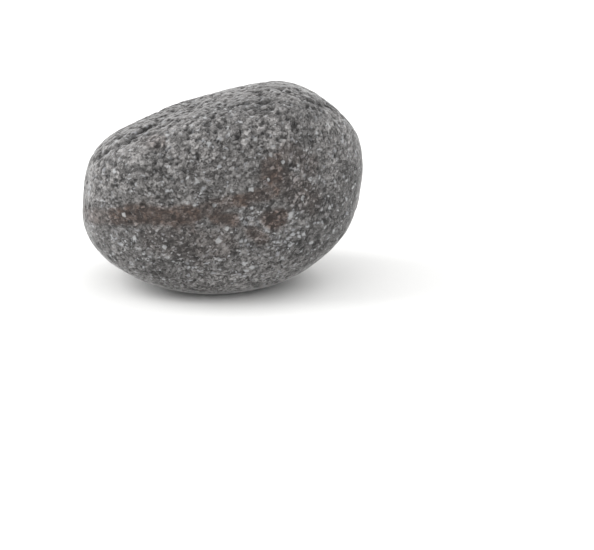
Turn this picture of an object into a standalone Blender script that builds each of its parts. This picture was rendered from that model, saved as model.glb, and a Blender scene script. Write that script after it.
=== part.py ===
"""River pebble: one water-worn stone of grey, finely porous lava, lying on its flat underside.

Run it with:  blender --background --python part.py

The stone is an egg that tumbling has worn to broad flats. Layers in the lava run along it and come to the
surface as short ledges and low ribs, and the larger gas pores are hollows pressed into the skin.
Units are metres, +Z up. X runs along the stone and the front faces -Y. The origin is on the plane that the
stone rests on, under the middle of its bounding box. Directions from the stone's centre are given as a turn
about Z, from +X towards +Y, and a rise above the horizon, both in degrees.
"""

import math
import random
from typing import NamedTuple

import bmesh
import bpy
import numpy as np
from mathutils import Vector, kdtree, noise

MM = 0.001

# ---- driving dimensions ------------------------------------------------------------------------------
EGG_LENGTH, EGG_BREADTH, EGG_DEPTH = 136 * MM, 98 * MM, 102 * MM  # the round stone before it was worn flat
EGG_TILT = 20.0  # degrees that its length climbs towards +X
CENTRE_HEIGHT = 37.8 * MM  # from the resting plane up to the centre that every reach is measured from
ROUNDING = 8.0  # how crisply two worn faces meet: 2 is an egg, 20 is a cut block

# ---- the layers of the lava --------------------------------------------------------------------------
LAYERS_FACE = Vector((-0.34, -0.20, 0.92)).normalized()  # square to the layers, towards the crown
RIB_SPACING, RIB_LENGTH, RIB_HEIGHT = 5.5 * MM, 28 * MM, 0.22 * MM

# ---- lumps: (distance between swells, their height) --------------------------------------------------
BROAD_LUMPS = (26 * MM, 0.8 * MM)
SMALL_LUMPS = (9 * MM, 0.35 * MM)

# ---- ledges ------------------------------------------------------------------------------------------
LEDGE_STEP = 0.75 * MM  # how far the stone beside a ledge lies under the layer above it
LEDGE_FACE = 1.2 * MM  # breadth of the worn face between the two
LEDGE_APRON = 8 * MM  # distance over which the lower side climbs back to the worn surface
LEDGE_NOTCH = 0.4 * MM  # depth of the crevice along the foot of a ledge
LEDGE_NOTCH_WIDTH = 1.4 * MM
LEDGE_WANDER = (6 * MM, 2.2 * MM)  # (distance between bends, how far a ledge strays from its line)
LEDGE_GAPS = (8 * MM, 0.8)  # (distance between gaps, how much of a ledge is worn away in them)
LEDGE_TAPER = 0.25  # share of its length over which a ledge fades in at each end

# ---- hollows -----------------------------------------------------------------------------------------
HOLLOWS = 120
HOLLOW_LENGTHS = (2.8 * MM, 5.4 * MM)
HOLLOW_WIDTH_SHARE = 0.66  # of its length
HOLLOW_DEPTH_SHARE = 0.13  # of its length
HOLLOW_SEED = 23
HOLLOWS_LEAN_UP = 0.4  # how much more often one lies on the upper half than on the lower

# ---- foot and fineness -------------------------------------------------------------------------------
CALM_BELOW, ROUGH_ABOVE = 1.5 * MM, 9 * MM  # heights between which the relief fades in above the foot
BLANK_CUTS = 135  # cuts along each edge of the cube that the blank starts from
FACETS = 9600  # triangles left in the finished solid


class WornFace(NamedTuple):
    """A broad flat worn on the stone: where it faces, and how far it is from the centre."""

    name: str
    turn: float
    rise: float
    reach: float  # millimetres


class Ledge(NamedTuple):
    """The broken edge of a layer, through stations given as (turn, rise), with its lower side on the right."""

    name: str
    stations: tuple[tuple[float, float], ...]
    strength: float  # share of the full step and notch


class Hollow(NamedTuple):
    """A gas pore large enough to be placed by hand."""

    turn: float
    rise: float
    length: float  # millimetres


WORN_FACES = (
    WornFace("right end", 0, -2, 63.5),
    WornFace("right top shoulder", 0, 59.5, 52.5),
    WornFace("long top slope", 180, 73, 32.5),
    WornFace("left end", 180, 9, 54.5),
    WornFace("lower left flank", 180, -65.5, 44.5),
    WornFace("underside", 0, -87, 41),
    WornFace("right heel", 0, -53, 53),
    WornFace("front", -90, -5, 48),
    WornFace("front right", -45, 12, 57),
    WornFace("front left", -140, -12, 58),
    WornFace("front brow", -100, 48, 51),
    WornFace("back", 90, 5, 47),
    WornFace("back left", 140, 15, 56),
    WornFace("back right", 40, -25, 55),
    WornFace("back heel", 110, -50, 49),
)

LEDGES = (
    Ledge("left brow, low", ((-168, 13), (-164, 18), (-158, 23)), 0.7),
    Ledge("left brow, middle", ((-154, 25), (-152, 30), (-156, 35)), 0.8),
    Ledge("left brow, high", ((-156, 35), (-161, 42), (-177, 48)), 1.0),
    Ledge("top slope", ((170, 51), (158, 53), (143, 54)), 0.9),
    Ledge("crown front", ((-66, 50), (-55, 50), (-44, 52)), 0.7),
    Ledge("right shoulder", ((-36, 44), (-20, 42), (0, 38), (18, 32)), 0.8),
    Ledge("back shoulder", ((165, 27), (148, 33), (128, 36)), 0.9),
    Ledge("back flank", ((104, 10), (86, 6), (66, 9)), 0.7),
    Ledge("right flank", ((-18, -4), (-2, 1), (12, 8)), 0.6),
)

PLACED_HOLLOWS = (
    Hollow(-124, 31, 5.6),
    Hollow(-138, 31, 4.2),
    Hollow(-143, 18, 4.2),
    Hollow(-67, 35, 3.6),
)


def direction(turn: float, rise: float) -> Vector:
    """The unit vector from the centre at these two angles."""
    turn, rise = math.radians(turn), math.radians(rise)
    return Vector(
        (math.cos(turn) * math.cos(rise), math.sin(turn) * math.cos(rise), math.sin(rise))
    )


def worn_surface(directions: np.ndarray) -> np.ndarray:
    """The points of the smooth worn stone in these directions, from its centre.

    Each face alone would cut the egg off flat at its reach. Raising the cuts to a power and adding them
    rounds every edge between two of them, as tumbling does.
    """
    egg_axes = np.array([direction(0, EGG_TILT), direction(90, 0), direction(180, 90 - EGG_TILT)])
    half_lengths = np.array([EGG_LENGTH, EGG_BREADTH, EGG_DEPTH]) / 2
    egg = np.linalg.norm(directions @ egg_axes.T / half_lengths, axis=1)
    faces = np.array([direction(face.turn, face.rise) for face in WORN_FACES])
    reaches = np.array([face.reach * MM for face in WORN_FACES])
    cuts = np.maximum(0, directions @ faces.T / reaches)
    total = egg**ROUNDING + (cuts**ROUNDING).sum(axis=1)
    return directions * (total ** (-1 / ROUNDING))[:, None]


def eased(low: float, high: float, values: np.ndarray) -> np.ndarray:
    """0 below low, 1 above high, and smooth between them."""
    share = np.clip((values - low) / (high - low), 0, 1)
    return share * share * (3 - 2 * share)


def waves(points: np.ndarray, wavelength: float) -> np.ndarray:
    """A smooth unevenness between -1 and 1 at each point."""
    return np.array([noise.noise(Vector(point)) for point in points / wavelength])


def rib_heights(points: np.ndarray) -> np.ndarray:
    """Low ribs where layers of the lava meet the surface: long along the layers, narrow across them."""
    across = points @ np.array(LAYERS_FACE)
    along = (points - across[:, None] * np.array(LAYERS_FACE)) / RIB_LENGTH
    return RIB_HEIGHT * waves(along + (across / RIB_SPACING)[:, None] * np.array(LAYERS_FACE), 1)


def ledge_depths(ledge: Ledge, points: np.ndarray, normals: np.ndarray) -> np.ndarray:
    """How far a ledge lowers each point: a crevice along it, and a side that climbs back to the surface."""
    route = worn_surface(np.array([direction(*station) for station in ledge.stations]))
    spans = len(route) - 1
    nearest = np.full(len(points), 2 * LEDGE_APRON)
    side = np.full(len(points), np.inf)
    place = np.zeros(len(points))
    for span, (start, end) in enumerate(zip(route, route[1:])):
        run = end - start
        share = np.clip((points - start) @ run / (run @ run), 0, 1)
        away = points - start - share[:, None] * run
        distance = np.linalg.norm(away, axis=1)
        closer = distance < nearest
        nearest[closer] = distance[closer]
        right = np.cross(run, normals)
        right /= np.linalg.norm(right, axis=1)[:, None]
        side[closer] = (away * right).sum(axis=1)[closer]
        place[closer] = (span + share[closer]) / spans
    touched = np.isfinite(side)
    line = side[touched] + LEDGE_WANDER[1] * waves(points[touched], LEDGE_WANDER[0])
    notch = LEDGE_NOTCH * np.exp(-(((line - LEDGE_FACE / 2) / LEDGE_NOTCH_WIDTH) ** 2))
    apron = LEDGE_STEP * np.clip(1 - line / LEDGE_APRON, 0, 1) ** 2
    apron *= eased(-LEDGE_FACE / 2, LEDGE_FACE / 2, line)
    beyond = np.sqrt(np.maximum(0, nearest[touched] ** 2 - side[touched] ** 2))
    fade = eased(0, LEDGE_TAPER, place[touched]) * eased(0, LEDGE_TAPER, 1 - place[touched])
    fade *= 1 - eased(0, LEDGE_APRON / 2, beyond)
    fade *= 1 - LEDGE_GAPS[1] * eased(0, 0.4, waves(points[touched], LEDGE_GAPS[0]))
    depths = np.zeros(len(points))
    depths[touched] = ledge.strength * fade * (notch + apron)
    return depths


def all_hollows() -> list[tuple[Vector, float]]:
    """Every hollow as its direction from the centre and its length: the placed ones, then the scattered."""
    hollows = [(direction(one.turn, one.rise), one.length * MM) for one in PLACED_HOLLOWS]
    dice = random.Random(HOLLOW_SEED)
    shortest, longest = HOLLOW_LENGTHS
    for _ in range(HOLLOWS):
        aim = Vector((dice.gauss(0, 1), dice.gauss(0, 1), dice.gauss(HOLLOWS_LEAN_UP, 1)))
        hollows.append((aim.normalized(), shortest + (longest - shortest) * dice.random() ** 2))
    return hollows


def hollow_depths(points: np.ndarray, normals: np.ndarray) -> np.ndarray:
    """How far the hollows lower each point: shallow ovals, drawn out along the layers of the lava."""
    near = kdtree.KDTree(len(points))
    for index, point in enumerate(points):
        near.insert(point, index)
    near.balance()
    depths = np.zeros(len(points))
    for aim, length in all_hollows():
        middle, nearest, _ = near.find(worn_surface(np.array([aim]))[0])
        long_way = LAYERS_FACE.cross(Vector(normals[nearest])).normalized()
        for point, index, _ in near.find_range(middle, length / 2):
            away = point - middle
            lengthways = away.dot(long_way)
            sideways = math.sqrt(max(0, away.length_squared - lengthways**2)) / HOLLOW_WIDTH_SHARE
            share = (lengthways**2 + sideways**2) / (length / 2) ** 2
            depth = HOLLOW_DEPTH_SHARE * length * max(0, 1 - share) ** 1.5
            depths[index] = max(depths[index], depth)
    return depths


def ball_blank() -> bmesh.types.BMesh:
    """A unit ball of even squares: a cut cube whose corners are drawn in, with no poles."""
    blank = bmesh.new()
    bmesh.ops.create_cube(blank, size=2)
    bmesh.ops.subdivide_edges(blank, edges=blank.edges, cuts=BLANK_CUTS, use_grid_fill=True)
    for vert in blank.verts:
        evened = Vector(math.tan(place * math.pi / 4) for place in vert.co)
        vert.co = evened.normalized()
    return blank


def shape_stone() -> bmesh.types.BMesh:
    """The whole stone at full fineness, standing in its own hollow of the plane z = 0, foot not yet cut."""
    stone = ball_blank()
    smooth = worn_surface(np.array([vert.co for vert in stone.verts]))
    for vert, place in zip(stone.verts, smooth):
        vert.co = place
    stone.normal_update()
    normals = np.array([vert.normal for vert in stone.verts])
    relief = BROAD_LUMPS[1] * waves(smooth, BROAD_LUMPS[0])
    relief += SMALL_LUMPS[1] * waves(smooth, SMALL_LUMPS[0])
    relief += rib_heights(smooth)
    relief -= hollow_depths(smooth, normals)
    for ledge in LEDGES:
        relief -= ledge_depths(ledge, smooth, normals)
    relief *= eased(CALM_BELOW, ROUGH_ABOVE, smooth[:, 2] + CENTRE_HEIGHT)
    places = smooth + normals * relief[:, None]
    middle = (places.min(axis=0) + places.max(axis=0)) / 2
    for vert, place in zip(stone.verts, places - (middle[0], middle[1], -CENTRE_HEIGHT)):
        vert.co = place
    return stone


def thinned(stone: bmesh.types.BMesh) -> bpy.types.Mesh:
    """The stone as a mesh of FACETS triangles, which a Decimate modifier keeps where the relief is."""
    bmesh.ops.triangulate(stone, faces=stone.faces)
    mesh = bpy.data.meshes.new("pebble_full")
    stone.to_mesh(mesh)
    stone.free()
    full = bpy.data.objects.new("pebble_full", mesh)
    bpy.context.scene.collection.objects.link(full)
    decimate = full.modifiers.new("thin", "DECIMATE")
    decimate.ratio = FACETS / len(mesh.polygons)
    bpy.context.view_layer.update()
    graph = bpy.context.evaluated_depsgraph_get()
    thin = bpy.data.meshes.new_from_object(full.evaluated_get(graph))
    bpy.data.objects.remove(full)
    return thin


def cut_foot(mesh: bpy.types.Mesh) -> None:
    """Cuts the underside off on the resting plane and closes it with one flat face."""
    stone = bmesh.new()
    stone.from_mesh(mesh)
    everything = stone.verts[:] + stone.edges[:] + stone.faces[:]
    cut = bmesh.ops.bisect_plane(
        stone, geom=everything, dist=1e-6, plane_co=(0, 0, 0), plane_no=(0, 0, -1), clear_outer=True
    )
    rim = [edge for edge in cut["geom_cut"] if isinstance(edge, bmesh.types.BMEdge)]
    bmesh.ops.contextual_create(stone, geom=rim)
    bmesh.ops.recalc_face_normals(stone, faces=stone.faces)
    stone.to_mesh(mesh)
    stone.free()


def worn_lava() -> bpy.types.Material:
    """Grey, matt, water-worn lava."""
    material = bpy.data.materials.new("worn_grey_lava")
    material.use_nodes = True
    shader = material.node_tree.nodes["Principled BSDF"]
    shader.inputs["Base Color"].default_value = (0.165, 0.160, 0.155, 1)
    shader.inputs["Roughness"].default_value = 0.85
    shader.inputs["Metallic"].default_value = 0
    return material


def build() -> None:
    """Clears the scene and makes the pebble."""
    for obj in list(bpy.data.objects):
        bpy.data.objects.remove(obj)
    mesh = thinned(shape_stone())
    cut_foot(mesh)
    mesh.name = "pebble"
    mesh.materials.clear()
    mesh.materials.append(worn_lava())
    bpy.context.scene.collection.objects.link(bpy.data.objects.new("pebble", mesh))


build()
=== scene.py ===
"""The river pebble's finished look: a water-worn stone of grey porous andesite on a pale studio floor.

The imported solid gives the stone's form. A fine skin is wrapped round it and smoothed, and then pitted, ledged
and grained as tumbled lava is. Lengths are in metres and +Z is up, as in the frame; sizes that a maker would
measure are written in millimetres and turned to metres by MM. Directions are from the middle of the stone's
box, as a turn about Z from +X towards +Y and a rise above the horizon, both in degrees.
"""

import logging
import math
import random
from dataclasses import dataclass, field
from enum import Enum
from typing import Iterable, NamedTuple

import bmesh
import bpy
import numpy as np
from bpy.types import Material, Mesh, Node, NodeSocket, NodeTree, Object
from mathutils import Euler, Matrix, Vector, kdtree, noise
from mathutils.bvhtree import BVHTree

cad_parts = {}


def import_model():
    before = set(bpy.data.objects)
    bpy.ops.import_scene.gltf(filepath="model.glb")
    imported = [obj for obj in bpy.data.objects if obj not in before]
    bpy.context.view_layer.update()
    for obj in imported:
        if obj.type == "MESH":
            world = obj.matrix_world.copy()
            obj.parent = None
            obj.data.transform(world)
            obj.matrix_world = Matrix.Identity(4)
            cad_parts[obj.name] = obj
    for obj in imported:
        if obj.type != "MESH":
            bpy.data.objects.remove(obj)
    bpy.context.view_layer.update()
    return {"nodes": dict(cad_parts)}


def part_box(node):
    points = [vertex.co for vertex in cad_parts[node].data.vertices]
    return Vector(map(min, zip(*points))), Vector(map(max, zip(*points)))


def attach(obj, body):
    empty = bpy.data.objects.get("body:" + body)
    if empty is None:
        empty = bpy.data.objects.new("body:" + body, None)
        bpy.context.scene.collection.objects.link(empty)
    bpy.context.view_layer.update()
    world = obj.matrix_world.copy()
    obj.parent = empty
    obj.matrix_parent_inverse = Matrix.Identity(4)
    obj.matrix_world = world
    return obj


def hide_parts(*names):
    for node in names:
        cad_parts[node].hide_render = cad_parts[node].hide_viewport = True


MM = 0.001
BAKE_MAP = "OFBake"
RELIEF = "relief"  # the skin's attribute for how high or deep it lies, which the material turns into painted shade and highlight
FLECK = "fleck"  # and for the larger crystals
MERGED = 1e-6  # metres between points that are one
TINY = 1e-12  # stands in for a length of 0 that would be divided by
MULTIPLY_ADD = {"operation": "MULTIPLY_ADD"}  # settings of nodes, as the next two are
COLOURS = {"data_type": "RGBA"}
SMOOTHLY = {"interpolation_type": "SMOOTHSTEP"}
Pair = tuple[float, float]
Triple = tuple[float, float, float]
log = logging.getLogger("pebble")


# ---- numbers and colours ---------------------------------


def linear(hex_colour: str) -> tuple[float, float, float, float]:
    """Turns an sRGB colour to the linear one that the shaders take.

    Args:
        hex_colour: Six hex digits, with or without a leading #.

    Returns:
        Linear red, green and blue, and an alpha of 1.
    """
    digits = hex_colour.lstrip("#")
    parts = [int(digits[at : at + 2], 16) / 255 for at in (0, 2, 4)]
    spread = [part / 12.92 if part <= 0.04045 else ((part + 0.055) / 1.055) ** 2.4 for part in parts]
    return (*spread, 1.0)


def eased(low: float, high: float, values: np.ndarray) -> np.ndarray:
    """Steps smoothly from 0 to 1.

    Args:
        low: The value up to which the answer is 0.
        high: The value from which the answer is 1.
        values: What is eased.

    Returns:
        One share for each value.
    """
    share = np.clip((values - low) / (high - low), 0, 1)
    return share * share * (3 - 2 * share)


class Seed(Enum):
    """What keeps one unevenness of the skin apart from the next."""

    RIBS = 0
    CRAGS = 37
    CREASED_AREAS = 13
    LUMPS = 31
    GRIT = 57
    WEAR = 61
    CROWDS = 83
    PIT_EDGES = 19
    BENDS = 43
    SMALL_BENDS = 47
    WIDTHS = 53
    GAPS = 71
    STAIN_EDGES = 11
    SMALL_STAIN_EDGES = 5


def waves(points: np.ndarray, wavelength: float, seed: Seed) -> np.ndarray:
    """Reads a smooth unevenness at many points.

    Args:
        points: Places in metres, one to a row.
        wavelength: The usual distance from one swell to the next, in metres.
        seed: Which unevenness.

    Returns:
        A value between about -1 and 1 for each point.
    """
    return np.array([noise.noise(Vector(place)) for place in points / wavelength + seed.value])


def compass(turn: float, rise: float) -> Vector:
    """The unit vector at a turn and a rise, both in degrees."""
    turn, rise = math.radians(turn), math.radians(rise)
    return Vector((math.cos(turn) * math.cos(rise), math.sin(turn) * math.cos(rise), math.sin(rise)))


# ---- what is on the stone --------------------------------


@dataclass(frozen=True)
class Bedding:
    """How the lava lay as it cooled: drawn out along its flow, and pressed flat between its layers."""

    face: Triple = (-0.34, -0.20, 0.92)
    flow: Triple = (0.0, 1.0, 0.0)
    drawn: float = 1.4  # times as long along the flow
    pressed: float = 0.85  # times as thick through the layers

    def axes(self) -> Matrix:
        """Finds the layers' own directions.

        Returns:
            A turn whose columns point across the flow, along it, and through the layers.
        """
        through = Vector(self.face).normalized()
        across = Vector(self.flow).cross(through).normalized()
        return Matrix((across, through.cross(across), through)).transposed()

    def laid(self, points: np.ndarray) -> np.ndarray:
        """Measures points in the layers, so that a round pattern on them is drawn out and pressed.

        Args:
            points: Places in metres, one to a row.

        Returns:
            The same places across the flow, along it and through the layers.
        """
        return points @ np.array(self.axes()) / np.array((1, self.drawn, self.pressed))


class Stain(Enum):
    """What a patch of the skin is coloured with; the value names its attribute on the mesh."""

    RUST = "rust"
    TONE_AND_PAINTED_LIGHT = "tone_and_painted_light"
    FELDSPAR = "pale"


class Patch(NamedTuple):
    """A patch or band of colour through its stations, each a (turn, rise)."""

    stations: tuple[Pair, ...]
    reach: float  # millimetres from the line to where it has faded
    strength: float  # in its middle; a tone below 0 is darker than the rock and above 0 lighter; some tone patches are painted light and shade


class Ledge(NamedTuple):
    """The crevice under a broken layer, through stations given as (turn, rise)."""

    stations: tuple[Pair, ...]
    depth: float  # millimetres


class Pore(NamedTuple):
    """One of the larger gas pores: its turn and rise, and its breadth, depth and rim in millimetres."""

    turn: float
    rise: float
    breadth: float
    depth: float
    rim: float = 0.0


class Fleck(NamedTuple):
    """One of the larger feldspar crystals: its turn and rise, and its breadth in millimetres."""

    turn: float
    rise: float
    breadth: float


PATCHES: dict[Stain, tuple[Patch, ...]] = {
    Stain.RUST: (
        Patch(((-178, -9), (-164, -8), (-148, -6), (-138, -4)), 4.4, 0.6),  # band, left
        Patch(((-138, -4), (-126, -2), (-115, -3), (-106, -2)), 5.4, 1.0),  # band, middle
        Patch(((-106, -2), (-97, 1), (-89, 4), (-81, 5)), 3.4, 0.65),  # band, rise
        Patch(((-81, 5), (-75, 7), (-66, 8)), 3.6, 0.7),  # over the swirl
        Patch(((-93, -4), (-85, -4)), 3.2, 0.9),  # under the band
        Patch(((-67, 16), (-66, 21)), 4.8, 0.75),  # on the brow
        Patch(((-67, -5), (-63, -5)), 5.0, 1.0),  # spot, right
        Patch(((-75, -11), (-71, -14)), 3.8, 0.7),  # spot, low
        Patch(((-60, 12), (-56, 8), (-46, 1)), 7.0, 0.5),  # haze, right
        Patch(((-57, 24), (-46, 17)), 6.0, 0.45),  # haze, high
        Patch(((-122, -13), (-104, -17), (-90, -17)), 8.0, 0.3),  # haze, low
        Patch(((-136, 32), (-128, 31)), 5.5, 0.4),  # by the oval pore
        Patch(((128, 9), (108, 6), (92, 10), (78, 8)), 6.5, 0.45),  # back
        Patch(((-14, -7), (0, -4), (14, -6)), 5.5, 0.35),  # right end
    ),
    # lighter and darker patches: partly the rock's own tone, and partly painted light and shade, as marked
    Stain.TONE_AND_PAINTED_LIGHT: (
        Patch(((-146, -4), (-118, -4)), 6, -0.25),  # along the band
        Patch(((-133, -9), (-118, -13), (-107, -16)), 9, -0.5),  # under the band
        Patch(((-92, -4), (-86, -4)), 4.5, -0.7),  # by the swirl
        Patch(((-120, -20), (-106, -22)), 8, -0.4),  # low middle
        Patch(((-68, 18), (-63, 17)), 6, -0.5),  # brow
        Patch(((-51, 20), (-55, 13), (-56, 7), (-52, 2)), 7, -0.8),  # right middle
        Patch(((-54, 12), (-44, 9)), 6, -0.8),  # by the brow
        Patch(((-45, 31), (-43, 29)), 4.5, -0.5),  # under the shoulder
        Patch(((-50, 1), (-40, -2)), 8, -1.3),  # right
        Patch(((-66, -5), (-63, -5)), 5.0, -1.2),  # round the right spot
        Patch(((-75, -16), (-72, -18)), 5, -0.6),  # low spot
        Patch(((-56, -15), (-49, -19)), 8, -0.95),  # low right
        Patch(((-134, -22), (-126, -26), (-114, -29)), 8, -0.6),  # foot, left
        Patch(((-104, 60), (-80, 66)), 10, -1.0),  # crown
        Patch(((-80, 9), (-74, 5)), 4.5, -0.5),  # over the swirl
        Patch(((-20, 6), (-24, -6), (-32, -12), (-41, -20)), 10, -0.9),  # right flank, painted shade
        Patch(((-178, -8), (-164, -19), (-150, -27)), 8, -1.0),  # left foot
        Patch(((-170, -3), (-162, -8)), 6, -0.6),  # left end, low
        Patch(((60, -10), (90, -14), (120, -6)), 12, -0.6),  # back
        Patch(((70, 38), (92, 44)), 9, -0.5),  # back shoulder
        Patch(((-4, 4), (10, 12)), 9, -0.4),  # right end
        Patch(((-160, 15), (-148, 15), (-144, 11), (-154, 6)), 11, 0.85),  # left end, painted light
        Patch(((-152, 25), (-140, 24), (-147, 37)), 8, 0.6),  # left brow
        Patch(((-134, 46), (-122, 45)), 9, 0.6),  # slope
        Patch(((-73, 35), (-64, 31), (-58, 38)), 8, 1.0),  # upper middle
        Patch(((-134, 27), (-120, 27), (-111, 26), (-101, 31)), 9, 0.8),  # upper left
        Patch(((-104, 50), (-98, 50)), 6, 0.6),  # high middle
        Patch(((-8, 32), (-18, 26), (-29, 26)), 9, 0.9),  # right shoulder, painted light
        Patch(((-35, 15), (-33, 9)), 6.0, 0.5),  # right
        Patch(((36, 67), (70, 70)), 10, 0.7),  # crown
        Patch(((-80, -3), (-75, -7)), 4.5, 0.6),  # swirl
        Patch(((-91, -13), (-86, -15)), 5, 0.6),  # low middle
        Patch(((-60, -7), (-57, -11)), 4.5, 0.5),  # by the spot
        Patch(((-100, -36), (-84, -40), (-56, -44)), 9, 0.8),  # foot, painted light against the shade where the stone meets the floor
        Patch(((-66, -28), (-60, -27)), 6, 0.4),  # low right
        Patch(((84, 24), (104, 28)), 10, 0.7),  # back
        Patch(((140, 30), (150, 20)), 9, 0.6),  # back left
    ),
    Stain.FELDSPAR: (
        Patch(((-79, -2), (-74, -5), (-71, -10), (-67, -12)), 4.4, 1.0),  # swirl
        Patch(((-64, -10), (-58, -6), (-53, 3)), 4.4, 0.6),  # flecks
        Patch(((-62, -18), (-56, -12)), 4.5, 0.35),  # low right
        Patch(((-142, -14), (-120, -16), (-96, -24)), 8, 0.3),  # low left
        Patch(((-54, 24), (-50, 14)), 10, 0.5),  # right
        Patch(((80, 30), (96, 26)), 5, 0.6),  # back
    ),
}

LEDGES = (
    Ledge(((-166, 15), (-162, 19), (-158, 22)), 1.4),  # left brow, low
    Ledge(((-156, 24), (-153, 28), (-158, 32)), 2.0),  # left brow, middle
    Ledge(((-158, 33), (-161, 37), (-166, 41), (-167, 45)), 2.6),  # left brow, high
    Ledge(((170, 46), (160, 48)), 0.8),  # top slope
    Ledge(((-146, 34), (-142, 37), (-138, 38)), 0.9),  # over the oval pore
    Ledge(((-142, 29), (-138, 32)), 0.6),  # by the oval pore
    Ledge(((-121, 31), (-121, 27), (-126, 25)), 0.4),  # round the oval pore
    Ledge(((-68, 62), (-57, 61)), 0.9),  # crown front, left
    Ledge(((-70, 53), (-64, 52), (-59, 53)), 1.1),  # crown front, middle
    Ledge(((-55, 57), (-48, 55), (-42, 53)), 1.1),  # crown front, right
    Ledge(((-20, 47), (-14, 44), (-4, 40), (6, 36)), 1.0),  # right shoulder
    Ledge(((-35, 43), (-24, 42)), 0.9),  # under the shoulder
    Ledge(((167, 23), (156, 29)), 1.3),  # back shoulder, left
    Ledge(((149, 29), (141, 34), (133, 33)), 1.0),  # back shoulder, right
    Ledge(((58, 24), (48, 21), (36, 22)), 0.9),  # back flank
)

PORES = (
    Pore(-132, -2, 2.4, 1.0), Pore(-127, 30, 3.2, 0.7, 0.45), Pore(-160, 30, 2.8, 1.0),
    Pore(-146, 30, 2.4, 0.9), Pore(-157, 25, 2.6, 0.9), Pore(-177, 18, 2.6, 0.9),
    Pore(-147, 17, 2.6, 0.8), Pore(-122, 18, 2.2, 0.4), Pore(-67, 26, 3.4, 0.7),
    Pore(-29, 18, 2.8, 0.8), Pore(-42, 15, 2.2, 0.7), Pore(-104, 20, 2.2, 0.7),
    Pore(150, 12, 3.2, 1.0), Pore(112, 36, 3.0, 0.9), Pore(64, 20, 2.8, 0.9),
    Pore(22, 30, 3.0, 0.9), Pore(96, -12, 2.6, 0.8),
)

FLECKS = (
    Fleck(-69, 46, 1.8), Fleck(-76, 10, 2.1), Fleck(-68, 14, 1.4), Fleck(-60, 21, 2.0),
    Fleck(-53, 18, 1.8), Fleck(-65, 25, 1.9), Fleck(-52, 4, 1.9), Fleck(-50, 7, 1.5),
    Fleck(-37, -3, 2.1), Fleck(-58, -4, 2.2), Fleck(-59, -25, 2.1), Fleck(-45, -18, 2.0),
    Fleck(-123, 33, 1.8), Fleck(-121, 30, 1.4), Fleck(-138, 27, 1.6), Fleck(-117, 24, 1.8),
    Fleck(-102, 14, 2.0), Fleck(-114, 15, 1.6), Fleck(-123, 7, 1.7), Fleck(-106, 4, 1.8),
    Fleck(-103, 3, 1.6), Fleck(-94, 3, 2.0), Fleck(-135, -3, 2.2), Fleck(-131, -13, 2.2),
    Fleck(-118, -17, 2.3), Fleck(-92, -15, 2.4), Fleck(-86, 37, 1.7), Fleck(-71, 33, 2.0),
    Fleck(-24, 31, 2.0), Fleck(-88, -9, 1.8), Fleck(-98, 33, 1.5), Fleck(166, 20, 2.1),
    Fleck(128, 18, 1.9), Fleck(101, 40, 2.0), Fleck(84, -2, 2.2), Fleck(52, 30, 1.8),
    Fleck(30, 6, 2.1), Fleck(8, 22, 1.9),
)


# ---- shader building -------------------------------------


def add_node(
    tree: NodeTree,
    kind: str,
    settings: dict[str, object] | None = None,
    inputs: dict[str | int, object] | None = None,
) -> Node:
    """Adds one node, with its settings, its input values and the links into it.

    Args:
        tree: The node tree that it joins.
        kind: The node's type after "ShaderNode", such as "Bump".
        settings: Properties of the node itself.
        inputs: For a socket's name or number, a value, an output, or a node that feeds it by its first.

    Returns:
        The new node.
    """
    node = tree.nodes.new(f"ShaderNode{kind}")
    for name, value in (settings or {}).items():
        setattr(node, name, value)
    for name, value in (inputs or {}).items():
        if isinstance(value, Node):
            value = value.outputs[0]
        if isinstance(value, NodeSocket):
            tree.links.new(value, node.inputs[name])
        else:
            node.inputs[name].default_value = value
    return node


@dataclass(frozen=True)
class Crystals:
    """One breadth of crystal in the rock, and the shares of its places that hold pale and dark mineral."""

    breadth: float
    feldspar: float
    pyroxene: float
    place: Triple  # shifts the scatter, so that no two breadths fall together


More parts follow.
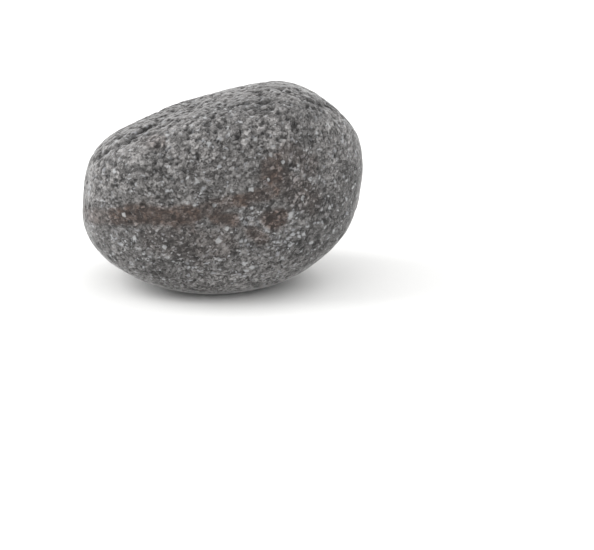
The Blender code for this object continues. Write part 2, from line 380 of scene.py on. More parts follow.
@dataclass(frozen=True)
class PorousAndesite:
    """Grey andesite, a porous lava, tumbled matt by a river: crystals and pores in a fine grey groundmass.

    Lava that cooled in flight has a fine groundmass, pale blocky feldspar, small dark pyroxene and gas pores.
    Tumbling bruises the high points to a pale powder; here their lighter colour is partly that wear and partly
    painted highlight, and the darker hollows and crevices are painted shade. The eye gets a crisp
    salt-and-pepper grain with hardly any gloss and a dusty bloom towards the outline. Some broad lighter and
    darker patches are painted light and shade as well. Water has stained it with iron along one layer.
    """

    name: str = "porous_andesite_tumbled"
    groundmass: tuple[str, ...] = ("#2e2c2b", "#484645", "#636160", "#7c7a79", "#979594")
    groundmass_at: tuple[float, ...] = (0.20, 0.36, 0.5, 0.64, 0.82)
    iron: str = "#baa194"
    iron_film: str = "#5b4a43"
    film_cover: float = 0.12
    rust_edge: Pair = (0.40, 0.58)  # in the blots' noise
    rust_least: float = 0.75
    feldspar_dull: str = "#848589"
    feldspar_bright: str = "#b3b4b5"
    pyroxene: str = "#2c2a29"
    bedding: Bedding = Bedding()
    # how far each grain sinks towards its edge, in its bump and in its grey; in the grey it is painted shade
    # between the grains
    doming_and_edge_shade: float = 0.4
    grain: float = 1.2 * MM
    grain_weight: float = 0.37  # of the coarse grains in the grey; the fine ones and clots have their own
    fine_grain: float = 0.6 * MM
    fine_weight: float = 0.29
    clots: float = 3.2 * MM
    clot_weight: Pair = (0.17, 0.43)
    mottle: float = 8 * MM
    mottle_shade: Pair = (0.87, 1.12)
    # blots that break up the tone patches, painted light and shade among them
    tone_blot: float = 2.4 * MM
    tone_reach: float = 0.38
    tone_share: Pair = (0.25, 1.75)  # of the reach, from blot to blot
    rust_blot: float = 2.2 * MM
    wander: float = 1.4 * MM
    wander_reach: float = 0.5 * MM
    crystals: tuple[Crystals, ...] = (
        Crystals(2.1 * MM, 0.030, 0.022, (0.11, 0.37, 0.23)),
        Crystals(1.4 * MM, 0.060, 0.045, (0.53, 0.19, 0.41)),
        Crystals(0.9 * MM, 0.060, 0.090, (0.29, 0.47, 0.61)),
    )
    patchy: float = 0.6
    swirl: float = 0.20
    crystal_edge: float = 0.29
    crystal_lift: float = 0.3
    chipped: float = 0.9
    fleck_edge: Pair = (0.92, 1.16)
    fleck_cover: float = 0.75
    painted_hollow_shade_and_crest_light: Pair = (0.30, 1.35)  # painted shade of the deepest hollows, and lightness of the highest points: partly wear, partly painted highlight
    bump_height: float = 0.20 * MM
    roughness: float = 0.72
    dust: float = 0.72
    dust_spread: float = 0.25

    def material(self) -> Material:
        """Builds the stone's material.

        Returns:
            A new material whose patterns lie on Object coordinates and on the skin's own attributes.
        """
        material = bpy.data.materials.new(self.name)
        material.use_nodes = True
        tree = material.node_tree
        shader = tree.nodes["Principled BSDF"]
        place = add_node(tree, "TexCoord").outputs["Object"]
        bedded = self._bedded(tree, place)
        colour, height = self._groundmass(tree, bedded)
        colour = self._mottled(tree, place, colour)
        for crystals in self.crystals:
            colour, height = self._scattered(tree, bedded, colour, height, crystals)
        colour = self._rusted(tree, place, colour)
        colour = self._flecked(tree, place, colour)
        colour = self._paint_hollow_shade_and_crest_light(tree, colour)
        tree.links.new(colour, shader.inputs["Base Color"])
        tree.links.new(self._bump(tree, place, height), shader.inputs["Normal"])
        shader.inputs["Roughness"].default_value = self.roughness
        shader.inputs["Sheen Weight"].default_value = self.dust
        shader.inputs["Sheen Roughness"].default_value = self.dust_spread
        return material

    def _bedded(self, tree: NodeTree, place: NodeSocket) -> NodeSocket:
        """Turns the coordinates to the lava's layers, flattens them and gives the grains uneven outlines.

        Args:
            tree: The node tree.
            place: Object coordinates.

        Returns:
            The coordinates that the grains are drawn on.
        """
        turned = add_node(
            tree, "Mapping", {"vector_type": "TEXTURE"},
            {
                "Vector": place, "Rotation": self.bedding.axes().to_euler(),
                "Scale": (1, self.bedding.drawn, self.bedding.pressed),
            },
        )
        sway = add_node(tree, "TexNoise", None, {"Vector": place, "Scale": 1 / self.wander, "Detail": 1.0})
        swung = add_node(
            tree, "VectorMath", MULTIPLY_ADD,
            {0: sway.outputs["Color"], 1: (2 * self.wander_reach,) * 3, 2: turned},
        )
        return swung.outputs[0]

    def _groundmass(self, tree: NodeTree, bedded: NodeSocket) -> tuple[NodeSocket, NodeSocket]:
        """Colours the fine ground of the rock: coarse and fine grains, gathered in lighter and darker clots.

        Args:
            tree: The node tree.
            bedded: The grains' coordinates.

        Returns:
            The colour, and how high each grain stands, from 0 to 1.
        """
        height = 0.0
        for size, weight in ((self.grain, self.grain_weight), (self.fine_grain, self.fine_weight)):
            cells = add_node(tree, "TexVoronoi", None, {"Vector": bedded, "Scale": 1 / size})
            share = add_node(tree, "SeparateColor", None, {0: cells.outputs["Color"]})
            # darker towards each grain's edge: painted shade in the joints between the grains, as well as the
            # grain's dome in the bump
            domed_and_edge_shaded = add_node(
                tree, "Math", MULTIPLY_ADD, {0: cells.outputs["Distance"], 1: -self.doming_and_edge_shade, 2: share}
            )
            height = add_node(tree, "Math", MULTIPLY_ADD, {0: domed_and_edge_shaded, 1: weight, 2: height})
        clots = add_node(tree, "TexNoise", None, {"Vector": bedded, "Scale": 1 / self.clots, "Detail": 2.0})
        least, most = self.clot_weight
        spread = add_node(
            tree, "MapRange", None,
            {"Value": clots, "From Min": 0.25, "From Max": 0.75, "To Min": least, "To Max": most},
        )
        shade = add_node(tree, "Math", None, {0: height, 1: spread})
        ramp = add_node(tree, "ValToRGB", None, {0: shade})
        stops = ramp.color_ramp.elements
        while len(stops) < len(self.groundmass):
            stops.new(0.5)
        for stop, at, grey in zip(stops, self.groundmass_at, self.groundmass):
            stop.position = at
            stop.color = linear(grey)
        return ramp.outputs["Color"], height.outputs[0]

    def _mottled(self, tree: NodeTree, place: NodeSocket, colour: NodeSocket) -> NodeSocket:
        """Makes broad areas of the stone a little lighter or darker, and lays in the tone patches: partly
        painted light and shade.

        Args:
            tree: The node tree.
            place: Object coordinates.
            colour: The colour below.

        Returns:
            The mottled colour's socket.
        """
        broad = add_node(tree, "TexNoise", None, {"Vector": place, "Scale": 1 / self.mottle, "Detail": 3.0})
        dark, light = self.mottle_shade
        level = add_node(
            tree, "MapRange", None,
            {"Value": broad, "From Min": 0.3, "From Max": 0.7, "To Min": dark, "To Max": light},
        )
        # the tone patches, partly the rock's own tone and partly painted light and shade
        tone_and_painted_light = add_node(tree, "Attribute", {"attribute_name": Stain.TONE_AND_PAINTED_LIGHT.value})
        blots = add_node(
            tree, "TexNoise", None, {"Vector": place, "Scale": 1 / self.tone_blot, "Detail": 1.0}
        )
        least, most = (share * self.tone_reach for share in self.tone_share)
        reach = add_node(
            tree, "MapRange", None,
            {"Value": blots, "From Min": 0.35, "From Max": 0.65, "To Min": least, "To Max": most},
        )
        lighter = add_node(tree, "Math", MULTIPLY_ADD, {0: tone_and_painted_light.outputs["Fac"], 1: reach, 2: level})
        scaled = add_node(tree, "VectorMath", {"operation": "SCALE"}, {0: colour, "Scale": lighter})
        return scaled.outputs[0]

    def _rusted(self, tree: NodeTree, place: NodeSocket, colour: NodeSocket) -> NodeSocket:
        """Stains the rock with iron in blots, and lays a thin film of it over the grains.

        Args:
            tree: The node tree.
            place: Object coordinates.
            colour: The colour below.

        Returns:
            The stained colour's socket.
        """
        where = add_node(tree, "Attribute", {"attribute_name": Stain.RUST.value})
        blots = add_node(tree, "TexNoise", None, {"Vector": place, "Scale": 1 / self.rust_blot})
        start, full = self.rust_edge
        gate = add_node(
            tree, "MapRange", SMOOTHLY,
            {"Value": blots, "From Min": start, "From Max": full, "To Min": self.rust_least},
        )
        amount = add_node(tree, "Math", {"operation": "MULTIPLY"}, {0: where.outputs["Fac"], 1: gate})
        stained = add_node(
            tree, "Mix", {"data_type": "RGBA", "blend_type": "MULTIPLY"},
            {0: amount, 6: colour, 7: linear(self.iron)},
        )
        cover = add_node(tree, "Math", {"operation": "MULTIPLY"}, {0: amount, 1: self.film_cover})
        filmed = add_node(tree, "Mix", COLOURS, {0: cover, 6: stained.outputs[2], 7: linear(self.iron_film)})
        return filmed.outputs[2]

    def _flecked(self, tree: NodeTree, place: NodeSocket, colour: NodeSocket) -> NodeSocket:
        """Lays in the larger crystals that have places of their own, with uneven outlines.

        Args:
            tree: The node tree.
            place: Object coordinates.
            colour: The colour below.

        Returns:
            The colour with the crystals in it.
        """
        reach = add_node(tree, "Attribute", {"attribute_name": FLECK})
        chips = add_node(tree, "TexNoise", None, {"Vector": place, "Scale": 1 / self.grain})
        edge = add_node(tree, "Math", MULTIPLY_ADD, {0: chips, 1: self.chipped, 2: reach.outputs["Fac"]})
        start, full = self.fleck_edge
        mask = add_node(
            tree, "MapRange", SMOOTHLY,
            {"Value": edge, "From Min": start, "From Max": full, "To Max": self.fleck_cover},
        )
        laid = add_node(tree, "Mix", COLOURS, {0: mask, 6: colour, 7: linear(self.feldspar_bright)})
        return laid.outputs[2]

    def _scattered(
        self, tree: NodeTree, bedded: NodeSocket, colour: NodeSocket, height: NodeSocket, crystals: Crystals
    ) -> tuple[NodeSocket, NodeSocket]:
        """Lays one breadth of crystal into the groundmass, as many-sided cells picked at random.

        Args:
            tree: The node tree.
            bedded: The grains' coordinates.
            colour: The colour below.
            height: How high each grain stands.
            crystals: Their breadth and number.

        Returns:
            The colour and the height with the crystals in them.
        """
        moved = add_node(tree, "Mapping", None, {"Vector": bedded, "Location": crystals.place})
        lattice = {"Vector": moved, "Scale": 1 / crystals.breadth}
        cells = add_node(tree, "TexVoronoi", None, lattice)
        edges = add_node(tree, "TexVoronoi", {"feature": "DISTANCE_TO_EDGE"}, lattice)
        chance = add_node(tree, "SeparateColor", None, {0: cells.outputs["Color"]})
        inside = add_node(
            tree, "MapRange", SMOOTHLY, {"Value": edges.outputs["Distance"], "From Max": self.crystal_edge}
        )
        crowd = add_node(tree, "TexNoise", None, {"Vector": moved, "Scale": 1 / self.mottle})
        swirl = add_node(tree, "Attribute", {"attribute_name": Stain.FELDSPAR.value})
        pale = add_node(
            tree, "Mix", COLOURS,
            {0: chance.outputs[1], 6: linear(self.feldspar_dull), 7: linear(self.feldspar_bright)},
        )
        for share, extra, mineral, lift in (
            (crystals.pyroxene, 0.0, linear(self.pyroxene), -self.crystal_lift),
            (crystals.feldspar, self.swirl, pale.outputs[2], self.crystal_lift),
        ):
            usual = add_node(
                tree, "MapRange", None,
                {
                    "Value": crowd, "From Min": 0.3, "From Max": 0.7,
                    "To Min": share * (1 - self.patchy), "To Max": share * (1 + self.patchy),
                },
            )
            common = add_node(tree, "Math", MULTIPLY_ADD, {0: swirl.outputs["Fac"], 1: extra, 2: usual})
            picked = add_node(
                tree, "Math", {"operation": "LESS_THAN"}, {0: chance.outputs[0 if extra else 2], 1: common}
            )
            mask = add_node(tree, "Math", {"operation": "MULTIPLY"}, {0: picked, 1: inside})
            laid = add_node(tree, "Mix", COLOURS, {0: mask, 6: colour, 7: mineral})
            lifted = add_node(tree, "Math", MULTIPLY_ADD, {0: mask, 1: lift, 2: height})
            colour, height = laid.outputs[2], lifted.outputs[0]
        return colour, height

    def _paint_hollow_shade_and_crest_light(self, tree: NodeTree, colour: NodeSocket) -> NodeSocket:
        """Paints shade into the hollows and crevices, and lightens the high points: partly pale wear, partly
        painted highlight.

        Args:
            tree: The node tree.
            colour: The fresh rock's colour.

        Returns:
            The socket of the colour with its painted shade and highlight.
        """
        relief = add_node(tree, "Attribute", {"attribute_name": RELIEF})
        dark, light = self.painted_hollow_shade_and_crest_light
        level = add_node(
            tree, "MapRange", None,
            {"Value": relief.outputs["Fac"], "From Min": -1.0, "To Min": dark, "To Max": light},
        )
        scaled = add_node(tree, "VectorMath", {"operation": "SCALE"}, {0: colour, "Scale": level})
        return scaled.outputs[0]

    def _bump(self, tree: NodeTree, place: NodeSocket, height: NodeSocket) -> NodeSocket:
        """Raises the grain and sinks the pores that are too fine for the mesh to hold.

        Args:
            tree: The node tree.
            place: Object coordinates.
            height: How high each grain stands.

        Returns:
            The normal's socket.
        """
        grit = add_node(tree, "TexNoise", None, {"Vector": place, "Scale": 1 / self.grain, "Detail": 3.0})
        total = add_node(tree, "Math", None, {0: height, 1: grit})
        bump = add_node(tree, "Bump", None, {"Height": total, "Distance": self.bump_height})
        return bump.outputs[0]


@dataclass(frozen=True)
class MattPaper:
    """Matt white paper: the pale sweep under the stone, with a trace of pulp in it."""

    name: str = "matt_white_paper"
    sheet: str = "#fafaf9"
    pulp: str = "#f8f8f7"
    fibre: float = 4 * MM
    roughness: float = 0.95
    gloss: float = 0.1

    def material(self) -> Material:
        """Builds the paper's material.

        Returns:
            A new material whose pulp lies on Object coordinates.
        """
        material = bpy.data.materials.new(self.name)
        material.use_nodes = True
        tree = material.node_tree
        shader = tree.nodes["Principled BSDF"]
        place = add_node(tree, "TexCoord").outputs["Object"]
        fibres = add_node(tree, "TexNoise", None, {"Vector": place, "Scale": 1 / self.fibre})
        colour = add_node(tree, "Mix", COLOURS, {0: fibres, 6: linear(self.sheet), 7: linear(self.pulp)})
        tree.links.new(colour.outputs[2], shader.inputs["Base Color"])
        shader.inputs["Roughness"].default_value = self.roughness
        shader.inputs["Specular IOR Level"].default_value = self.gloss
        return material


# ---- the stone -------------------------------------------


class WornForm:
    """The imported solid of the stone, as a surface that can be asked for its points."""

    def __init__(self, solid: Object) -> None:
        """Merges a copy of the solid's loose triangles.

        Args:
            solid: The frame's own object, which is left as it is.
        """
        merged = bmesh.new()
        merged.from_mesh(solid.data)
        bmesh.ops.remove_doubles(merged, verts=merged.verts, dist=MERGED)
        self.tree = BVHTree.FromBMesh(merged)
        merged.free()
        low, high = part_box(solid.name)
        self.middle = (low + high) / 2

    def point(self, direction: Vector) -> Vector:
        """The place where a line from the middle leaves the stone."""
        place = self.tree.ray_cast(self.middle, direction)[0]
        return place if place is not None else self.tree.find_nearest(self.middle + direction)[0]

    def route(self, stations: Iterable[Pair]) -> np.ndarray:
        """The places on the stone at these stations, one to a row."""
        return np.array([self.point(compass(*station)) for station in stations])


class BareSkin(NamedTuple):
    """The skin once it is smoothed on the solid, before its relief: its points and normals, one to a row."""

    form: WornForm
    points: np.ndarray
    normals: np.ndarray


class Route(NamedTuple):
    """How each point of the skin lies to a line drawn on it."""

    distance: np.ndarray
    side: np.ndarray  # distance to the right of the line, as seen from outside
    along: np.ndarray  # share of the way along it


def lie_to(line: np.ndarray, bare: BareSkin) -> Route:
    """Measures every point of the skin from a line through a few places on it.

    Args:
        line: The places that the line joins, one to a row.
        bare: The skin before its relief.

    Returns:
        The distance, the side and the place along the line of each point.
    """
    nearest = np.full(len(bare.points), np.inf)
    side, along = np.zeros(len(nearest)), np.zeros(len(nearest))
    for span, (start, end) in enumerate(zip(line, line[1:])):
        run = end - start
        share = np.clip((bare.points - start) @ run / (run @ run), 0, 1)
        away = bare.points - start - share[:, None] * run
        distance = np.linalg.norm(away, axis=1)
        right = np.cross(run, bare.normals)
        right /= np.maximum(TINY, np.linalg.norm(right, axis=1))[:, None]
        closer = distance < nearest
        nearest[closer] = distance[closer]
        side[closer] = (away * right).sum(axis=1)[closer]
        along[closer] = (span + share[closer]) / (len(line) - 1)
    return Route(nearest, side, along)


@dataclass(frozen=True)
class Wear:
    """How the river has worn the skin: the lower flanks smoother than the crown."""

    smoothest: float = 0.42  # share of the full relief that is left there
    smooth_below: float = 38 * MM
    rough_above: float = 64 * MM
    slant: float = 0.25  # how fast those levels climb towards +X
    drift: float = 9 * MM
    drift_spacing: float = 30 * MM
    calm_below: float = 0.4 * MM  # no relief at all, so that the foot stays flat
    calm_until: float = 5 * MM

    def roughness(self, points: np.ndarray) -> np.ndarray:
        """How rough each part of the skin is.

        Args:
            points: The skin's points.

        Returns:
            A share from the smoothest part's to 1 for each point.
        """
        level = points[:, 2] - self.slant * points[:, 0]
        level += self.drift * waves(points, self.drift_spacing, Seed.WEAR)
        return self.smoothest + (1 - self.smoothest) * eased(self.smooth_below, self.rough_above, level)

    def off_foot(self, points: np.ndarray) -> np.ndarray:
        """The share of the relief that each point keeps: none at the foot, and all of it above."""
        return eased(self.calm_below, self.calm_until, points[:, 2])


@dataclass(frozen=True)
class Grain:
    """The skin's low relief: ribs along the layers, creases between crags, lumps and grit, planed by wear."""

    bedding: Bedding = Bedding()
    rib_spacing: float = 3.2 * MM
    rib_length: float = 15 * MM
    rib_height: float = 0.12 * MM
    crag_size: float = 4.6 * MM
    crease_depth: float = 0.7 * MM
    crease_breadth: float = 0.16  # of the swing from crag to crag
    creased_spacing: float = 9 * MM  # from one creased area to the next
    creased_edge: Pair = (-0.2, 0.3)
    lump_size: float = 2.6 * MM
    lump_height: float = 0.36 * MM
    grit_size: float = 1.2 * MM
    grit_height: float = 0.19 * MM
    planed_edge: float = 0.05 * MM  # how softly the high points are cut off

    def heights(self, points: np.ndarray) -> np.ndarray:
        """Works out how high the grain stands.

        Args:
            points: The skin's points.

        Returns:
            The height of each point, in metres.
        """
        laid = self.bedding.laid(points)
        ribs = waves(laid / np.array((self.rib_length, self.rib_length, self.rib_spacing)), 1, Seed.RIBS)
        creases = 1 - eased(0, self.crease_breadth, np.abs(waves(laid, self.crag_size, Seed.CRAGS)))
        creased = eased(*self.creased_edge, waves(points, self.creased_spacing, Seed.CREASED_AREAS))
        lumps = waves(laid, self.lump_size, Seed.LUMPS)
        grit = waves(laid, self.grit_size, Seed.GRIT)
        height = (
            self.rib_height * ribs
            - self.crease_depth * creases * creased
            + self.lump_height * lumps
            + self.grit_height * grit
        )
        return height - self.planed_edge * np.log1p(np.exp(height / self.planed_edge))


@dataclass(frozen=True)
class Pits:
    """The gas pores that the mesh is fine enough to hold, drawn out along the layers and in crowds."""

    bedding: Bedding = Bedding()
    draws: int = 3600
    seed: int = 42
    breadth: float = 1.7 * MM
    spread: float = 0.30
    limits: Pair = (1.3 * MM, 4.6 * MM)
    shape: Triple = (1.0, 1.4, 0.7)  # across the flow, along it and through the layers
    depth_share: float = 0.38
    crowd_spacing: float = 16 * MM
    crowd_edge: float = 0.35
    between_crowds: float = 0.35  # share of the draws that is kept there
    chip_size: float = 0.9 * MM
    chipped: float = 0.3
    roundness: float = 1.2
    rim_at: float = 1.1
    rim_breadth: float = 0.22
    rim_end: float = 1.4

    def _seats(self, bare: BareSkin, near: kdtree.KDTree) -> list[tuple[int, float, float, float]]:
        """Picks where the pores are: the placed ones, and then the scattered.

        Args:
            bare: The skin before its relief.
            near: Its points, for finding the nearest.

        Returns:
            For each pore the point that it is round, its breadth, its depth and its rim's height.
        """
        dice = random.Random(self.seed)
        crowding = waves(bare.points, self.crowd_spacing, Seed.CROWDS)
        crowding = eased(-self.crowd_edge, self.crowd_edge, crowding)
        kept = self.between_crowds + (1 - self.between_crowds) * crowding
        seats = []
        for pore in PORES:
            seat = near.find(bare.form.point(compass(pore.turn, pore.rise)))[1]
            seats.append((seat, pore.breadth * MM, pore.depth * MM, pore.rim * MM))
        for _ in range(self.draws):
            seat = dice.randrange(len(bare.points))
            keep, stretch = dice.random(), dice.gauss(0, self.spread)
            breadth = min(self.limits[1], max(self.limits[0], self.breadth * math.exp(stretch)))
            if keep < kept[seat]:
                seats.append((seat, breadth, self.depth_share * breadth, 0.0))
        return seats

    def depths(self, bare: BareSkin) -> np.ndarray:
        """Sinks the pores.

        Args:
            bare: The skin before its relief.

        Returns:
            How far each point is sunk, in metres; below 0 on a raised rim.
        """
        points = bare.points
        near = kdtree.KDTree(len(points))
        for index, point in enumerate(points):
            near.insert(point, index)
        near.balance()
        chips = 1 + self.chipped * waves(points, self.chip_size, Seed.PIT_EDGES)
        turned = points @ np.array(self.bedding.axes()) / np.array(self.shape)
        depths, rims = np.zeros(len(points)), np.zeros(len(points))
        for seat, breadth, deepest, rim in self._seats(bare, near):
            reach = self.rim_end * breadth / 2 * max(self.shape)
            found = [index for _, index, _ in near.find_range(points[seat], reach)]
            share = np.linalg.norm(turned[found] - turned[seat], axis=1) / (breadth / 2) * chips[found]
            cup = deepest * np.maximum(0, 1 - share * share) ** self.roundness
            depths[found] = np.maximum(depths[found], cup)
            ring = np.exp(-(((share - self.rim_at) / self.rim_breadth) ** 2))
            rims[found] = np.maximum(rims[found], rim * ring)
        return depths - rims


@dataclass(frozen=True)
class Crevices:
    """The crevices under the ledges: narrow, wandering and broken, with a side that climbs slowly back."""

    width: float = 0.85 * MM
    width_spacing: float = 2.6 * MM
    uneven: float = 0.7
    wander: float = 1.2 * MM
    bend: float = 5 * MM
    small_bend: float = 2.2 * MM
    small_share: float = 0.6
    gap_spacing: float = 3.4 * MM
    gap_edge: float = 0.3
    filled: float = 0.5
    apron_depth: float = 0.45
    apron_reach: float = 3.0  # times the crevice's width
    apron_shift: float = 0.5
    reach: float = 8 * MM
    end_reach: float = 2.5 * MM
    taper: float = 0.12
    end_depth: float = 0.3

    def depths(self, bare: BareSkin) -> np.ndarray:
        """Cuts the crevices.

        Args:
            bare: The skin before its relief.

        Returns:
            How far each point is sunk, in metres.
        """
        points = bare.points
        bends = waves(points, self.bend, Seed.BENDS)
        wander = self.wander * (bends + self.small_share * waves(points, self.small_bend, Seed.SMALL_BENDS))
        widths = self.width * (1 + self.uneven * waves(points, self.width_spacing, Seed.WIDTHS))
        gaps = 1 - self.filled * eased(0, self.gap_edge, waves(points, self.gap_spacing, Seed.GAPS))
        depths = np.zeros(len(points))
        for ledge in LEDGES:
            lie = lie_to(bare.form.route(ledge.stations), bare)
            beyond = np.sqrt(np.maximum(0, lie.distance**2 - lie.side**2))
            line = (lie.side + wander) / widths
            apron = np.exp(-((line / self.apron_reach - self.apron_shift) ** 2)) * (line > 0)
            near = (lie.distance < self.reach) * (1 - eased(0, self.end_reach, beyond))
            ends = eased(0, self.taper, lie.along) * eased(0, self.taper, 1 - lie.along)
            cut = np.exp(-(line**2)) + self.apron_depth * apron
            depths += ledge.depth * MM * cut * near * (self.end_depth + (1 - self.end_depth) * ends) * gaps
        return depths


@dataclass(frozen=True)
class Stains:
    """How the patches of colour lie on the skin: full in their middles, and ragged at their edges."""

    core: float = 0.45  # share of a patch's reach that is full
    edge_spacing: float = 6 * MM
    edge_swing: float = 0.35
    small_spacing: float = 2.5 * MM
    small_swing: float = 0.25

    def shares(self, stain: Stain, bare: BareSkin) -> np.ndarray:
        """Works out how strongly each point carries a stain.

        Args:
            stain: Which stain.
            bare: The skin before its relief.

        Returns:
            A share from -1 to 1 for each point.
        """
        points = bare.points
        broad = self.edge_swing * waves(points, self.edge_spacing, Seed.STAIN_EDGES)
        ragged = 1 + broad + self.small_swing * waves(points, self.small_spacing, Seed.SMALL_STAIN_EDGES)
        total = np.zeros(len(points))
        for patch in PATCHES[stain]:
            lie = lie_to(bare.form.route(patch.stations), bare)
            reach = patch.reach * MM
            total += patch.strength * (1 - eased(self.core * reach, reach, lie.distance * ragged))
        return np.clip(total, -1, 1)


@dataclass
class PebbleSkin:
    """The stone's skin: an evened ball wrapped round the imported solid, smoothed, then pitted and ledged."""

    name: str = "river_pebble"
    node: str = "pebble"
    slot: str = "worn_grey_lava"
    cuts: int = 127
    smoothing: int = 24
    full_painted_shade: float = 0.6 * MM  # height at which the skin is palest, partly painted highlight, and depth at which its painted shade is darkest
    chart_half: float = 0.494  # of a chart's cell, which leaves a margin round it
    wear: Wear = Wear()
    grain: Grain = Grain()
    pits: Pits = Pits()
    crevices: Crevices = Crevices()
    stains: Stains = Stains()
    finish: PorousAndesite = PorousAndesite()

    def build(self, solid: Object) -> Object:
        """Makes the skin and dresses it.

        Args:
            solid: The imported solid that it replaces.

        Returns:
            The finished piece, riding on the root body.
        """
        form = WornForm(solid)
        skin, cube = self._ball()
        for vert in skin.verts:
            vert.co = form.point(vert.co)
        for _ in range(self.smoothing):
            bmesh.ops.smooth_vert(
                skin, verts=skin.verts, factor=0.5, use_axis_x=True, use_axis_y=True, use_axis_z=True
            )
        skin.normal_update()
        points = np.array([vert.co for vert in skin.verts])
        bare = BareSkin(form, points, np.array([vert.normal for vert in skin.verts]))
        relief = self.wear.roughness(points) * (self.grain.heights(points) - self.pits.depths(bare))
        relief -= self.crevices.depths(bare)
        relief = (relief - relief.mean()) * self.wear.off_foot(points)
        places = points + bare.normals * relief[:, None]
        places[:, 2] = np.maximum(places[:, 2], 0)
        for vert, place in zip(skin.verts, places):
            vert.co = place
        mesh = bpy.data.meshes.new(self.name)
        skin.to_mesh(mesh)
        skin.free()
        mesh.shade_smooth()
        # the relief as a share, which the material turns into painted shade in the hollows and lighter high
        # points
        self._write(mesh, RELIEF, np.clip(relief / self.full_painted_shade, -1, 1))
        self._write(mesh, FLECK, self._fleck_reach(bare))
        for stain in Stain:
            self._write(mesh, stain.value, self.stains.shares(stain, bare))
        self._unwrap(mesh, cube)
        mesh.materials.append(self.finish.material())
        piece = bpy.data.objects.new(self.name, mesh)
        bpy.context.scene.collection.objects.link(piece)
        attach(piece, "root")
        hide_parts(self.node)
        return piece

    def _ball(self) -> tuple[bmesh.types.BMesh, np.ndarray]:
        """Makes a unit ball of even squares, with no poles.

        Returns:
            The ball, and where each of its points lay on the cube that it was drawn in from.
        """
        ball = bmesh.new()
        bmesh.ops.create_cube(ball, size=2)
        bmesh.ops.subdivide_edges(ball, edges=ball.edges, cuts=self.cuts, use_grid_fill=True)
        cube = np.array([vert.co for vert in ball.verts])
        for vert in ball.verts:
            vert.co = Vector(math.tan(place * math.pi / 4) for place in vert.co).normalized()
        return ball, cube

    def _fleck_reach(self, bare: BareSkin) -> np.ndarray:
        """How far inside a placed crystal each point is: 0.5 on its edge, and more towards its middle.

        Args:
            bare: The skin before its relief.

        Returns:
            A share from 0 to 1 for each point.
        """
        inside = np.zeros(len(bare.points))
        for fleck in FLECKS:
            away = np.linalg.norm(bare.points - bare.form.route([(fleck.turn, fleck.rise)]), axis=1)
            inside = np.maximum(inside, 0.5 + (fleck.breadth / 2 - away / MM) / 2)
        return np.clip(inside, 0, 1)

    def _write(self, mesh: Mesh, name: str, values: np.ndarray) -> None:
        """Keeps one number for each point of the mesh, as an attribute of this name."""
        layer = mesh.attributes.new(name, "FLOAT", "POINT")
        layer.data.foreach_set("value", values.astype(np.float32))

    def _unwrap(self, mesh: Mesh, cube: np.ndarray) -> None:
        """Lays the skin out as the six sides of the cube that it grew from, three across and two down.

        Args:
            mesh: The finished mesh, whose points are in the order of the cube's.
            cube: Where each point lay on the cube, from -1 to 1.
        """
        corners = np.empty(len(mesh.loops), np.int32)
        mesh.loops.foreach_get("vertex_index", corners)
        sides = cube[corners].reshape(-1, 4, 3)
        middles = sides.mean(axis=1)
        axis = np.abs(middles).argmax(axis=1)
        front = middles[np.arange(len(axis)), axis] > 0
        spread = np.empty((len(axis), 4, 2))
        for which in range(3):
            others = [other for other in range(3) if other != which]
            spread[axis == which] = sides[axis == which][:, :, others]
        spread = 0.5 + self.chart_half * spread
        spread[..., 0] = (spread[..., 0] + axis[:, None]) / 3
        spread[..., 1] = (spread[..., 1] + front[:, None]) / 2
        layer = mesh.uv_layers.new(name=BAKE_MAP)
        layer.uv.foreach_set("vector", spread.astype(np.float32).ravel())


# ---- the studio ------------------------------------------


class Softbox(NamedTuple):
    """A square softbox: where it hangs, the length of its side in metres, and its power."""

    name: str
    place: Triple
    breadth: float
    watts: float


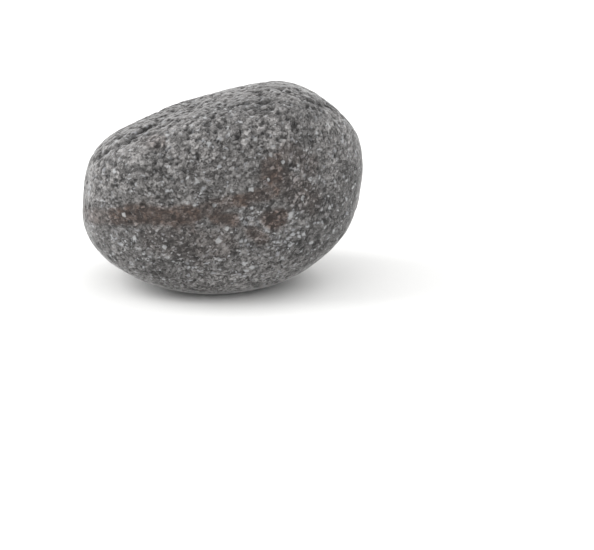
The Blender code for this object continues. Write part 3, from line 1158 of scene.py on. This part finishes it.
@dataclass
class Studio:
    """A pale paper floor, a bright even surround and large soft lamps at the left and behind on the right."""

    floor_breadth: float = 60.0
    surround: str = "#ffffff"
    surround_strength: float = 1.0
    aim: Triple = (0.0, 0.0, 0.04)
    softboxes: tuple[Softbox, ...] = (
        Softbox("left_softbox", (-0.80, 0.10, 0.64), 0.7, 6.7),
        Softbox("right_softbox", (0.72, 0.35, 0.95), 0.7, 3.3),
    )
    paper: MattPaper = MattPaper()

    def build(self) -> None:
        """Makes the floor, the surround and the lamps."""
        floor = bmesh.new()
        bmesh.ops.create_grid(floor, x_segments=2, y_segments=2, size=self.floor_breadth / 2)
        mesh = bpy.data.meshes.new("floor")
        floor.to_mesh(mesh)
        floor.free()
        mesh.materials.append(self.paper.material())
        piece = bpy.data.objects.new("floor", mesh)
        bpy.context.scene.collection.objects.link(piece)
        world = bpy.data.worlds.new("bright_surround")
        world.use_nodes = True
        sky = world.node_tree.nodes["Background"]
        sky.inputs["Color"].default_value = linear(self.surround)
        sky.inputs["Strength"].default_value = self.surround_strength
        bpy.context.scene.world = world
        for softbox in self.softboxes:
            self._hang(softbox)
        bpy.context.scene.view_settings.view_transform = "Standard"

    def _hang(self, softbox: Softbox) -> None:
        """Hangs one softbox.

        Args:
            softbox: Which one.
        """
        lamp = bpy.data.lights.new(softbox.name, "AREA")
        lamp.shape = "SQUARE"
        lamp.size = softbox.breadth
        lamp.energy = softbox.watts
        hung = bpy.data.objects.new(softbox.name, lamp)
        hung.location = softbox.place
        sight = Vector(self.aim) - Vector(softbox.place)
        hung.rotation_euler = sight.to_track_quat("-Z", "Y").to_euler()
        bpy.context.scene.collection.objects.link(hung)


@dataclass
class StudioCamera:
    """A long lens that looks down on the stone a little, with the stone up and to the left of its middle."""

    lens: float = 100.0
    sensor: float = 36.0
    distance: float = 0.66
    sight_rise: float = 14.0
    sight_on: Vector = field(default_factory=lambda: Vector((1.3, -0.2, 36.0)) * MM)
    tilt_down: float = 16.98
    turn_right: float = 2.55
    sees: Pair = (0.02, 100.0)

    def build(self) -> None:
        """Makes the camera and gives it to the scene."""
        data = bpy.data.cameras.new("studio_camera")
        data.lens = self.lens
        data.sensor_width = self.sensor
        data.clip_start, data.clip_end = self.sees
        camera = bpy.data.objects.new("studio_camera", data)
        rise = math.radians(self.sight_rise)
        camera.location = self.sight_on + self.distance * Vector((0, -math.cos(rise), math.sin(rise)))
        camera.rotation_euler = Euler((math.radians(90 - self.tilt_down), 0, -math.radians(self.turn_right)))
        bpy.context.scene.collection.objects.link(camera)
        bpy.context.scene.camera = camera


def main() -> None:
    """Loads the frame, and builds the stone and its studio."""
    logging.basicConfig(level=logging.INFO, format="%(message)s")
    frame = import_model()
    StudioCamera().build()
    Studio().build()
    log.info("camera, floor and lamp are in place")
    skin = PebbleSkin()
    piece = skin.build(frame["nodes"][skin.node])
    log.info("%s has %d faces", piece.name, len(piece.data.polygons))


if __name__ == "__main__":
    main()
